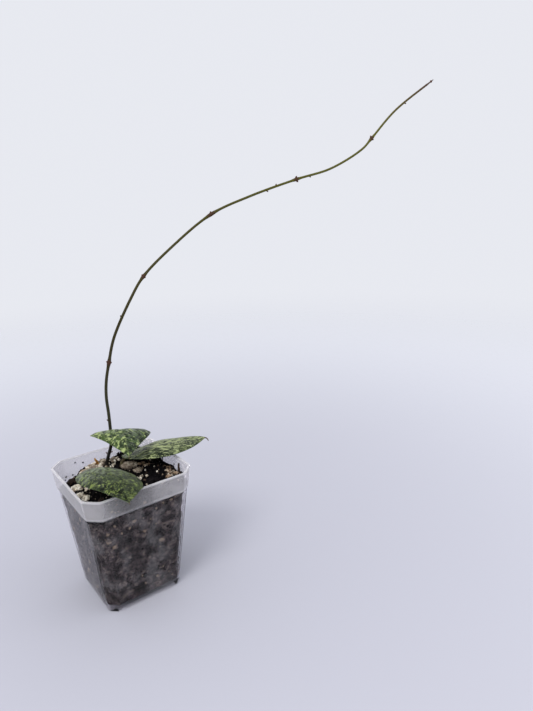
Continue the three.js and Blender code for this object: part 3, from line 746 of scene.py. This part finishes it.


# Leaves

# The form of each leaf, and the marks on its blade: its dark, middle, fleck and silver shades, set darker
# on leaf_front as painted shade and paler on leaf_right as painted light, its part of the endless pattern,
# the slant of the marks to the midrib, how they are drawn out along and across it, how strong the silver
# marks with their painted sheen are towards the base and up to where, how much the midrib shows, the side
# that takes painted light, the flecks as size, threshold, crowding and strength, and the size of the dark
# gaps.
LEAVES = {
    "leaf_upper": {
        "midrib": [(7.8, 21.5, 95.3), (7.5, 12.1, 101.3), (5, 0.5, 100.1), (0.1, -16.2, 94.4)],
        "width": 38.5, "roll": 9.6, "twist": 0, "shoulder": 0.71, "taper": 1.23, "arch": 1.9, "wave": 0.3,
        "stalk": [(5.5, 25.5, 92.6), (7, 23.4, 93.2), (7.8, 21, 95.2), (7.9, 17, 98.4)],
        "stalk_radii": (1.2, 0.8), "thread": [(0.5, -15, 94.9), (-0.2, -16.8, 94.1), (-0.5, -17.5, 93.6)],
        "shades": [(20, 32, 16), (62, 80, 40), (172, 186, 122), (150, 160, 140)],
        "pattern": 150, "slant": 0.5, "draw": (1, 0.8, 1), "silver_and_painted_sheen": 0.85, "silver_and_sheen_end": 20, "rib": 0.15,
        "lit_side": 1, "flecks": [(3.2, 0.62, 0.05, 0.75), (0.9, 0.64, 0.04, 0.85)], "gap_size": 2.4,
    },
    "leaf_front": {
        "midrib": [(-4.1, 11.8, 78.2), (-11.5, -10.7, 88), (-13.6, -34.4, 89.5), (-15.6, -48.8, 84.3)],
        "width": 36.8, "roll": 12.5, "twist": 2.6, "shoulder": 0.62, "taper": 1.01, "arch": 5, "wave": 0.3,
        "stalk": [
            (-1.2, 23.4, 70), (-4.4, 21.8, 71.6), (-5, 17, 74.4), (-4.3, 12, 78), (-5.4, 7.4, 80.8),
        ],
        "stalk_radii": (1.3, 0.9),
        "thread": [(-15.4, -47.6, 84.8), (-15.7, -49.2, 84), (-15.8, -49.8, 83.5)],
        # Darker shades than the other leaves: painted shade
        "shades": [(7, 14, 6), (30, 42, 18), (138, 154, 84), (132, 142, 118)],
        "pattern": 160, "slant": 0.5, "draw": (1, 0.8, 1), "silver_and_painted_sheen": 0.85, "silver_and_sheen_end": 30, "rib": 0.1,
        "lit_side": 0, "flecks": [(2.4, 0.64, 0.05, 0.6), (0.9, 0.6, 0.03, 0.95)], "gap_size": 2,
    },
    "leaf_right": {
        "midrib": [(9.4, 20.1, 78.9), (24.7, 6, 86.9), (40.1, -3.3, 88.4), (56.7, -9.6, 88.4)],
        "width": 30, "roll": 5.6, "twist": -4.5, "shoulder": 0.72, "taper": 0.84, "arch": 3, "wave": 0.25,
        "stalk": [
            (-0.8, 23.4, 70), (3.4, 20.8, 70), (6.2, 16.6, 72.8), (8.4, 17.2, 76.8), (12.9, 17, 80.4),
        ],
        "stalk_radii": (1.4, 1), "thread": [(55.4, -9.2, 88.5), (57.4, -10.6, 88), (58.2, -11.6, 86)],
        # Paler, greyer shades than leaf_upper: painted light and sheen
        "shades": [(34, 42, 28), (80, 90, 58), (164, 174, 124), (132, 140, 120)],
        "pattern": 170, "slant": 0.12, "draw": (0.3, 1, 1), "silver_and_painted_sheen": 0.7, "silver_and_sheen_end": 20, "rib": 0.1,
        "lit_side": -1, "flecks": [(1.3, 0.56, 0.04, 0.8), (0.7, 0.57, 0.03, 0.8)], "gap_size": 1.1,
    },
}
GAP_STRENGTH = 0.85
# How far the margins of a blade turn down, and from which share of its half-width
MARGIN_TURN = 0.8
MARGIN_FROM = 0.8
# Under 1, this squares the section of a blade: its two sides are flat and its margins round
SECTION_POWER = 0.4
TANGENT_STEP = 0.002
BLADE_ROWS = 72
BLADE_COLUMNS = 88
THREAD_RADII = (0.5, 0.25)


def blade_outline(share, shoulder, taper):
    if share <= 0 or share >= 1:
        return 0
    widest = shoulder / (shoulder + taper)
    peak = widest ** shoulder * (1 - widest) ** taper
    return share ** shoulder * (1 - share) ** taper / peak


def blade_point(leaf, midrib, row, column):
    """A point on the blade's skin, the top side first."""
    share = 0.5 - 0.5 * math.cos(math.pi * row)
    centre = spline_at(midrib, share, even=True)
    ahead = spline_at(midrib, min(share + TANGENT_STEP, 1), even=True)
    behind = spline_at(midrib, max(share - TANGENT_STEP, 0), even=True)
    along = (ahead - behind).normalized()
    level = along.cross(UP).normalized()
    side = Matrix.Rotation(-math.radians(leaf["roll"] + leaf["twist"] * share), 3, along) @ level
    normal = side.cross(along)
    reach = blade_outline(share, leaf["shoulder"], leaf["taper"])
    half = max(BLADE_END_HALF_WIDTH, reach * leaf["width"] / 2)
    angle = math.tau * column
    v = -math.cos(angle)
    lift = math.copysign(abs(math.sin(angle)) ** SECTION_POWER, math.sin(angle))
    ripple = leaf["wave"] * v * v * math.sin(9 * share + 2 * v)
    groove = MIDRIB_DEPTH * math.exp(-((v / MIDRIB_HALF_SHARE) ** 2)) * reach
    keel = 2 * groove if lift < 0 else groove
    height = lift * BLADE_THICKNESS / 2 - keel - leaf["arch"] * v * v * reach * reach + ripple * reach
    height -= MARGIN_TURN * smooth_share((abs(v) - MARGIN_FROM) / (1 - MARGIN_FROM)) * reach
    return centre + side * (v * half) + normal * height


def make_leaf(name, leaf, underside, stalk):
    midrib = [Vector(point) for point in leaf["midrib"]]
    length = Path(leaf["midrib"]).length
    blade = bmesh.new()

    def uv_at(row, column):
        share = 0.5 - 0.5 * math.cos(math.pi * row)
        reach = blade_outline(share, leaf["shoulder"], leaf["taper"])
        across = -math.cos(math.tau * column) * reach * leaf["width"] / 2
        return share * length / UV_SPAN, 0.5 + across / UV_SPAN

    add_closed_skin(
        blade, BLADE_ROWS, BLADE_COLUMNS, lambda row, column: blade_point(leaf, midrib, row, column),
        uv_at, lambda row, column: 0 if column < 0.5 else 1,
    )
    top = leaf_top(name + "_top", leaf)
    finished_piece(name + "_blade", blade, [top, underside], [name])
    stems = bmesh.new()
    first, second = leaf["stalk_radii"]
    add_tube(stems, Path(leaf["stalk"]), lambda share: lerp(first, second, share), 40, 12, ends=0.04)
    add_tube(stems, Path(leaf["thread"]), lambda share: lerp(*THREAD_RADII, share), 12, 8, ends=0.2)
    finished_piece(name + "_stalk", stems, [stalk])


# Potting mix


def lattice_value(i, j, seed):
    mixed = math.sin(i * 127.1 + j * 311.7 + seed * 74.7) * 43758.5453
    return mixed - math.floor(mixed)


def value_noise(x, y, seed):
    i, j = math.floor(x), math.floor(y)
    fx, fy = smooth_share(x - i), smooth_share(y - j)
    near = lerp(lattice_value(i, j, seed), lattice_value(i + 1, j, seed), fx)
    far = lerp(lattice_value(i, j + 1, seed), lattice_value(i + 1, j + 1, seed), fx)
    return lerp(near, far, fy) - 0.5


def mix_level(x, y):
    """Height of the mix without its lumps: low at the left and the front wall, high behind the stem."""
    to_right = smooth_share((x - MIX_RISE_FROM_LEFT) / MIX_RISE_RIGHT_SPAN)
    to_back = smooth_share(y / MIX_RISE_BACK_SPAN)
    heap = to_back * smooth_share((x - MIX_HEAP_FROM_LEFT) / MIX_HEAP_LEFT_SPAN)
    drop = MIX_DROP_RIGHT * smooth_share((x - MIX_DROP_FROM) / MIX_DROP_SPAN)
    level = MIX_LOW + MIX_RISE_RIGHT * to_right + MIX_RISE_BACK * heap * (1 - to_right) - drop
    off_front_wall = smooth_share((y - FRONT_WALL_Y) / FRONT_SLOPE_SPAN)
    return lerp(min(level, MIX_AT_FRONT_WALL), level, off_front_wall)


def mix_height(x, y):
    clumps = CLUMP_HEIGHT * value_noise(x / CLUMP_SPAN, y / CLUMP_SPAN, 1)
    crumbs = CRUMB_HEIGHT * value_noise(x / CRUMB_SPAN, y / CRUMB_SPAN, 2)
    return mix_level(x, y) + clumps + crumbs


def fine_relief(x, y):
    """Small lumps and pits of the mix, about half a millimetre either way."""
    place = Vector((x, y, 0))
    return 0.5 * noise.noise(place / 1.5) + 0.3 * noise.noise(place / 0.7)


def wall_hollow(place):
    """How far the side of the mix falls short of the wall: wide hollows and narrow ones."""
    wide = 0.9 * max(0, noise.noise(place / 5.5) + 0.15)
    return wide + 0.5 * max(0, noise.noise(place / 1.8))


MIX_COLUMNS = 260
MIX_TOP_ROWS = 70
MIX_SIDE_ROWS = 70
MIX_FLOOR_ROWS = 10
MIX_ROWS = MIX_TOP_ROWS + MIX_SIDE_ROWS + MIX_FLOOR_ROWS
# Under 1, this crowds the top's rows at its edge
TOP_ROW_POWER = 0.8
# How fast the hollows fade in from the side's upper and lower edge
HOLLOW_FADE = 6
# The top of the mix has the pot's outline at this height
MIX_OUTLINE_Z = 72


def mix_point(row, column, outline, half):
    """A point on the mix. Rows run from the middle of its top over the edge to that of its floor."""
    step = row * MIX_ROWS
    edge = outline[round(column * MIX_COLUMNS) % MIX_COLUMNS]
    if step <= MIX_TOP_ROWS:
        share = (step / MIX_TOP_ROWS) ** TOP_ROW_POWER
        x, y = edge.x * share, edge.y * share
        return Vector((x, y, mix_height(x, y) + fine_relief(x, y)))
    if step <= MIX_TOP_ROWS + MIX_SIDE_ROWS:
        share = (step - MIX_TOP_ROWS) / MIX_SIDE_ROWS
        z = lerp(mix_height(edge.x, edge.y), MIX_FLOOR, share)
        fade = min(1, HOLLOW_FADE * share, HOLLOW_FADE * (1 - share))
        hollow = wall_hollow(Vector((edge.x, edge.y, z))) * fade
        place = edge * (inner_half(z, MIX_GAP)[0] / half) - edge.normalized() * hollow
        return Vector((place.x, place.y, z))
    share = 1 - (step - MIX_TOP_ROWS - MIX_SIDE_ROWS) / MIX_FLOOR_ROWS
    scale = inner_half(MIX_FLOOR, MIX_GAP)[0] / half * share
    return Vector((edge.x * scale, edge.y * scale, MIX_FLOOR))


def make_mix():
    half, cut = inner_half(MIX_OUTLINE_Z, MIX_GAP)
    outline = evenly(square_outline(2 * half, cut), MIX_COLUMNS)
    block = bmesh.new()
    add_closed_skin(block, MIX_ROWS, MIX_COLUMNS, lambda row, column: mix_point(row, column, outline, half))
    finished_piece("mix_block", block, [dark_mix()], ["potting_mix"])


LUMP_CUTS = 5
# Which part of the endless pattern the ridges take
RIDGE_SHIFT = Vector((7, 3, 1))
# How deep the relief of each kind of lump is
LUMP_RELIEF = {"pumice": 0.85, "stone": 0.7, "bark": 0.45, "dark_bark": 0.5}


def refined_lump(name, finish, depth):
    """A packed lump with its form kept, its corners worn and its surface broken up."""
    lump = packed_mesh(name)
    bmesh.ops.subdivide_edges(lump, edges=lump.edges, cuts=LUMP_CUTS, use_grid_fill=True)
    bmesh.ops.triangulate(lump, faces=lump.faces)
    bmesh.ops.smooth_vert(
        lump, verts=lump.verts, factor=0.5, use_axis_x=True, use_axis_y=True, use_axis_z=True
    )
    lump.normal_update()
    offsets = {}
    for vert in lump.verts:
        place = vert.co / MM
        ridges = 0.4 - abs(noise.noise(place / 2.4 + RIDGE_SHIFT)) * 1.6
        relief = ridges + 0.6 * noise.noise(place / 0.9) + 0.35 * noise.noise(place / 0.4)
        offsets[vert] = vert.normal * (relief * depth * MM)
    for vert, offset in offsets.items():
        vert.co += offset
    smooth_faces(lump)
    finished_piece(name + "_fine", lump, [finish], [name])


def make_lumps(finishes):
    for name in sorted(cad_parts):
        kind = name.rsplit("_", 1)[0]
        if kind in LUMP_RELIEF:
            refined_lump(name, finishes[kind], LUMP_RELIEF[kind])


# Twig and dried shoot


TWIG_RADII = (0.95, 0.65)
# How knobbly the twig is, and how many knobs it has
KNOB_SHARE = 0.22
KNOB_COUNT = 7
TWIG_ROUTE = [(30.2, -20.4, 70), (31, -19.6, 74.4), (30.9, -18.6, 77.4), (31.8, -17.4, 80.6)]
# A dry sprig by the right wall, behind the leaf, and its radius as a share of the twig's
SPRIG_SHARE = 0.4
SPRIG_ROUTE = [(30.9, 4, 72.4), (31.1, 4.4, 75), (31.4, 5, 78.2)]
SHOOT_RADII = (0.72, 0.42)
SHOOT_ROUTE = [(-5.2, 26.6, 68), (-5.5, 27, 72), (-5.4, 27.2, 74.8), (-5.6, 27.4, 77.6)]
# Dried scale leaves: half their width, depth and height, how much they are cupped, and then their middle,
# lean and turn in degrees
SCALE_HALVES = (1.1, 0.3, 2.1)
SCALE_CUP = 0.35
SHOOT_SCALES = [((-6.2, 26.8, 75.9), 30, 60), ((-4.8, 27.2, 76.3), -34, 20), ((-5.7, 27.4, 78.2), -20, 110)]


def make_twig(finish):
    twig = bmesh.new()

    def knobbly(share):
        return lerp(*TWIG_RADII, share) * (1 + KNOB_SHARE * noise.noise(Vector((share * KNOB_COUNT, 2, 5))))

    add_tube(twig, Path(TWIG_ROUTE), knobbly, 40, 12, ends=0.05)
    add_tube(twig, Path(SPRIG_ROUTE), lambda share: SPRIG_SHARE * knobbly(share), 24, 8, ends=0.05)
    finished_piece("twig_fine", twig, [finish], ["twig"])


def make_dried_shoot(finish):
    shoot = bmesh.new()
    add_tube(shoot, Path(SHOOT_ROUTE), lambda share: lerp(*SHOOT_RADII, share), 30, 10, ends=0.05)
    for middle, lean, turn in SHOOT_SCALES:
        scale = bmesh.new()
        bmesh.ops.create_uvsphere(scale, u_segments=16, v_segments=12, radius=1)
        turned = Euler((0, 0, math.radians(turn))).to_matrix()
        pose = turned @ Euler((math.radians(lean), 0, 0)).to_matrix()
        for vert in scale.verts:
            across, deep, upward = (half * share for half, share in zip(SCALE_HALVES, vert.co))
            local = Vector((across, deep + SCALE_CUP * vert.co.x ** 2, upward))
            vert.co = (Vector(middle) + pose @ local) * MM
        smooth_faces(scale)
        join_into(shoot, scale)
    finished_piece("dried_shoot_fine", shoot, [finish], ["dried_shoot"])


# Loose crumbs, chips and grit

class Scatter:
    """Copies of one small closed shape, gathered in one piece with a few finishes."""

    def __init__(self, create, rough=0.0, **settings):
        self.shape = bmesh.new()
        create(self.shape, **settings)
        for vert in self.shape.verts:
            vert.co *= 1 + rough * noise.noise(vert.co * 3 + Vector((4, 2, 9)))
        self.target = bmesh.new()

    def add(self, place, size, turn, finish=0, smooth=False):
        matrix = Matrix.Translation(Vector(place) * MM) @ turn.to_matrix().to_4x4()
        matrix = matrix @ Matrix.Diagonal((*(side * MM for side in size), 1))
        fresh = [self.target.verts.new(matrix @ vert.co) for vert in self.shape.verts]
        for face in self.shape.faces:
            copy = self.target.faces.new([fresh[vert.index] for vert in face.verts])
            copy.material_index = finish
            copy.smooth = smooth

    def finish(self, name, finishes, slot):
        self.shape.free()
        finished_piece(name, self.target, finishes)


def any_turn():
    return Euler([random.uniform(0, math.tau) for _ in range(3)])


def inside_pot(x, y, z, margin):
    """Whether a point lies inside the pot's inner wall by the margin."""
    half, cut = inner_half(z, margin)
    return abs(x) < half and abs(y) < half and abs(x) + abs(y) < 2 * half - cut


CRUMB_COUNT = 3200
# How far out crumbs are strewn, their smallest size and how much larger they get
STREWN = 34
CRUMB_SMALLEST = 0.6
CRUMB_SPREAD = 1.8
# A crumb's height over the mix and room to the wall, as shares of its size
CRUMB_LIFT = 0.15
WALL_ROOM = 0.7
# How often the crumbs are black, brown and pale
CRUMB_SHADES = (36, 3, 1)


def make_crumbs(finishes):
    crumbs = Scatter(bmesh.ops.create_icosphere, rough=0.6, subdivisions=1, radius=0.5)
    placed = 0
    while placed < CRUMB_COUNT:
        x, y = random.uniform(-STREWN, STREWN), random.uniform(-STREWN, STREWN)
        size = CRUMB_SMALLEST + CRUMB_SPREAD * random.random() ** 3
        z = mix_height(x, y) + CRUMB_LIFT * size
        if not inside_pot(x, y, z, MIX_GAP + size * WALL_ROOM):
            continue
        sides = [size * random.uniform(0.6, 1.2) for _ in range(3)]
        shade = random.choices(range(len(CRUMB_SHADES)), CRUMB_SHADES)[0]
        crumbs.add((x, y, z), sides, any_turn(), shade)
        placed += 1
    crumbs.finish("mix_crumbs", finishes, "mix")


# Walls, named by their outward direction
BACK, FRONT, LEFT_WALL, RIGHT_WALL = (0, 1), (0, -1), (-1, 0), (1, 0)
# Crumbs that stick to the inside of a wall: place along the wall, height and size
STUCK_CRUMBS = {
    BACK: [
        (-17.7, 78.2, 1.2), (-12.7, 77, 1.3), (27.7, 75.6, 1.1), (-24.9, 70.7, 1.6), (-20.4, 70.6, 1.2),
        (-25.6, 68.8, 1), (6.5, 79.5, 0.8),
    ],
    RIGHT_WALL: [(-8.7, 76.3, 1.1), (-25, 77.1, 1)],
    FRONT: [(-4.9, 72.1, 2.4)],
    LEFT_WALL: [(20, 75, 1.1), (3, 73.4, 0.9), (-14, 71.6, 0.8)],
}
STUCK_SHAPE = (1, 0.8, 0.9)
# How far its middle lies from the wall, as a share of its size
STUCK_DEPTH = 0.42

# Pale grit that shows through the front wall: place along the wall, height and size
FRONT_GRIT = [
    (-18.6, 62, 2.4), (-6.9, 60.9, 2.8), (-23, 58.1, 2.2), (-19.5, 48.2, 3), (-22.5, 52.4, 3.4),
    (12.5, 65.7, 1.8), (17.7, 66.1, 2.8), (20.8, 67.4, 2.6), (7.7, 63.6, 1.4), (10.6, 39.8, 5.6),
    (-9.5, 57, 2), (0.3, 70.9, 2.2),
]
GRIT_HEIGHTS = (8, 64)
GRIT_GAP = 0.1
GRIT_PER_WALL = 44
GRIT_FLATNESS = 0.4
GRIT_SIZES = (0.9, 1.2, 1.6, 2.4, 3.6)
# How often the grit is tan, grey and black
GRIT_SHADES = (3, 3, 4)


def wall_point(wall, along, z, gap):
    """A point that lies inside a wall by the gap."""
    half, _ = inner_half(z, gap)
    return Vector((wall[0] * half + abs(wall[1]) * along, wall[1] * half + abs(wall[0]) * along, z))


def make_wall_grit(crumb_finish, grit_finishes):
    stuck = Scatter(bmesh.ops.create_icosphere, rough=0.6, subdivisions=1, radius=0.5)
    for wall, crumbs in STUCK_CRUMBS.items():
        for along, z, size in crumbs:
            place = wall_point(wall, along, z, size * STUCK_DEPTH)
            stuck.add(place, [size * share for share in STUCK_SHAPE], any_turn())
    stuck.finish("wall_crumbs", [crumb_finish], "mix")
    grit = Scatter(bmesh.ops.create_icosphere, rough=0.7, subdivisions=2, radius=0.5)
    places = [(FRONT, *spot, 0) for spot in FRONT_GRIT]
    for wall in (BACK, FRONT, LEFT_WALL, RIGHT_WALL):
        for _ in range(GRIT_PER_WALL):
            z = random.uniform(*GRIT_HEIGHTS)
            half, cut = inner_half(z, 1)
            shade = random.choices(range(len(grit_finishes)), GRIT_SHADES)[0]
            along = random.uniform(cut - half, half - cut)
            places.append((wall, along, z, random.choice(GRIT_SIZES), shade))
    for wall, along, z, size, shade in places:
        place = wall_point(wall, along, z, GRIT_GAP + GRIT_FLATNESS * size / 2)
        across = size * random.uniform(0.6, 1)
        facing = Euler((0, 0, 0 if wall[1] else math.pi / 2)).to_matrix()
        spin = Euler((0, random.uniform(0, math.tau), 0)).to_matrix()
        sides = (size, size * GRIT_FLATNESS, across)
        grit.add(place, sides, (facing @ spin).to_euler(), shade, smooth=True)
    grit.finish("wall_grit", grit_finishes, "pumice")


def heaped(heaps):
    """Places in heaps, each with the size of what lies there."""
    for (x, y), (spread_x, spread_y), count, size in heaps:
        for _ in range(count):
            yield random.gauss(x, spread_x), random.gauss(y, spread_y), size


# Where thin chips and fibres lie on the mix: middle, spread, how many and how long
CHIP_HEAPS = [
    ((26, -18), (1.7, 2.5), 90, 1.7), ((28.5, -10), (1, 3), 22, 2.2), ((18, 6), (3, 2), 14, 3),
    ((-16, 29), (3, 1), 16, 2.2), ((4, 0), (12, 12), 36, 1.8),
]
# The limits of a chip's height over the mix, its width, its depth and its turns in radians
CHIP_LIFTS = (0.3, 1.1)
CHIP_WIDTHS = (0.3, 0.8)
CHIP_DEPTHS = (0.25, 0.5)
CHIP_TURNS = [(-0.5, 0.5), (-0.6, 0.6), (0, math.pi)]


def make_chips(finishes):
    """Slivers of bark and fibres."""
    chips = Scatter(bmesh.ops.create_cube, size=1)
    for x, y, length in heaped(CHIP_HEAPS):
        long_side = length * random.uniform(0.5, 1.2)
        z = mix_height(x, y) + random.uniform(*CHIP_LIFTS)
        if not inside_pot(x, y, z, MIX_GAP + long_side / 2):
            continue
        turn = Euler([random.uniform(*angles) for angles in CHIP_TURNS])
        sides = (long_side, random.uniform(*CHIP_WIDTHS), random.uniform(*CHIP_DEPTHS))
        chips.add((x, y, z), sides, turn, random.randrange(len(finishes)))
    chips.finish("mix_chips", finishes, "bark")


# Where small broken bits of pumice and stone lie on the mix: middle, spread, how many and how large
BIT_HEAPS = [
    ((-7, 27), (4.5, 2), 56, 3), ((-24, 8), (2, 4.5), 26, 2), ((6, 24), (3, 2), 18, 2),
    ((14, 0), (5, 5), 16, 1.6), ((24, -18), (2, 2.5), 10, 1.5), ((0, 0), (13, 13), 40, 1.2),
]
# How often the bits are pumice and stone
BIT_SHADES = (2, 1)
BIT_LIFT = 0.3


def make_pale_bits(finishes):
    """Small broken bits, paler than the mix."""
    bits = Scatter(bmesh.ops.create_icosphere, rough=0.8, subdivisions=1, radius=0.5)
    for x, y, size in heaped(BIT_HEAPS):
        width = size * random.uniform(0.5, 1.3)
        z = mix_height(x, y) + BIT_LIFT * width
        if not inside_pot(x, y, z, MIX_GAP + width * WALL_ROOM):
            continue
        sides = [width * random.uniform(0.6, 1.1) for _ in range(3)]
        bits.add((x, y, z), sides, any_turn(), random.choices((0, 1), BIT_SHADES)[0])
    bits.finish("pale_bits", finishes, "pumice")


# Floor, light and world

FLOOR_RADIUS = 4


def floor_finish():
    """Pale paint, with a painted shade that darkens it near the middle, that fades out with distance into
    the plain background.
    """
    finish = Finish("floor_paint_and_painted_shade", Roughness=0.9, Specular_IOR_Level=0.1)
    point = finish.node("TexCoord", {}).outputs["Object"]
    distance = finish.node("VectorMath", {0: point}, operation="LENGTH").outputs["Value"]
    # Painted shade: darker near the middle, round the object
    far = finish.band(distance, 0.05, 0.75)
    finish.feed("Base Color", finish.blend(far, colour(190, 190, 200), colour(224, 225, 232)))
    finish.feed("Alpha", finish.band(distance, 0.22, 1.3, 1, 0))
    return finish


def make_stage():
    floor = bmesh.new()
    bmesh.ops.create_circle(floor, cap_ends=True, radius=FLOOR_RADIUS, segments=64)
    mesh = as_mesh("floor", floor)
    mesh.materials.append(floor_finish().material)
    linked("floor", mesh)


# Lights: place in metres, size, power and tint
LIGHTS = {
    "key": ((-0.7, -0.4, 1.1), 0.6, 8, (1, 0.99, 0.97)),
    "fill": ((0.9, -0.7, 0.6), 0.8, 2, (0.96, 0.97, 1)),
}
LIT_POINT = Vector((0, 0, 0.1))
SKY_STRENGTH = 0.94


def make_light():
    world = bpy.data.worlds.new("world")
    world.use_nodes = True
    background = world.node_tree.nodes["Background"]
    background.inputs[0].default_value = colour(238, 240, 247)
    background.inputs[1].default_value = SKY_STRENGTH
    scene.world = world
    for name, (place, size, power, tint) in LIGHTS.items():
        data = bpy.data.lights.new(name, "AREA")
        data.shape = "DISK"
        data.size = size
        data.energy = power
        data.color = tint
        light = linked(name, data)
        light.location = place
        light.rotation_euler = (LIT_POINT - Vector(place)).to_track_quat("-Z", "Y").to_euler()
    scene.view_settings.view_transform = "Standard"


# The whole object

random.seed(7)
make_camera()
make_pot()
make_vine()
underside = plant_finish("leaf_underside")
stalk = plant_finish("leaf_stalk")
for leaf_name, leaf in LEAVES.items():
    make_leaf(leaf_name, leaf, underside, stalk)
make_mix()
lumps = {name: lump_finish(name) for name in LUMP_LOOKS}
make_lumps(lumps)
black = Finish("crumb_black", Roughness=0.95, Specular_IOR_Level=0.1, Base_Color=colour(9, 7, 9))
make_crumbs([black, lumps["crumb_brown"], lumps["crumb_pale"]])
tan = Finish("grit_tan", Roughness=0.9, Base_Color=colour(142, 124, 104))
grey = Finish("grit_grey", Roughness=0.9, Base_Color=colour(100, 90, 86))
make_wall_grit(black, [tan, grey, black])
make_chips([lumps["bark"], lumps["dark_bark"], lumps["crumb_pale"]])
make_pale_bits([lumps["pumice"], lumps["stone"]])
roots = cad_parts["roots"]
roots.data.materials.clear()
roots.data.materials.append(lumps["root"].material)
make_twig(lumps["dark_bark"])
make_dried_shoot(lumps["dried"])
make_stage()
make_light()
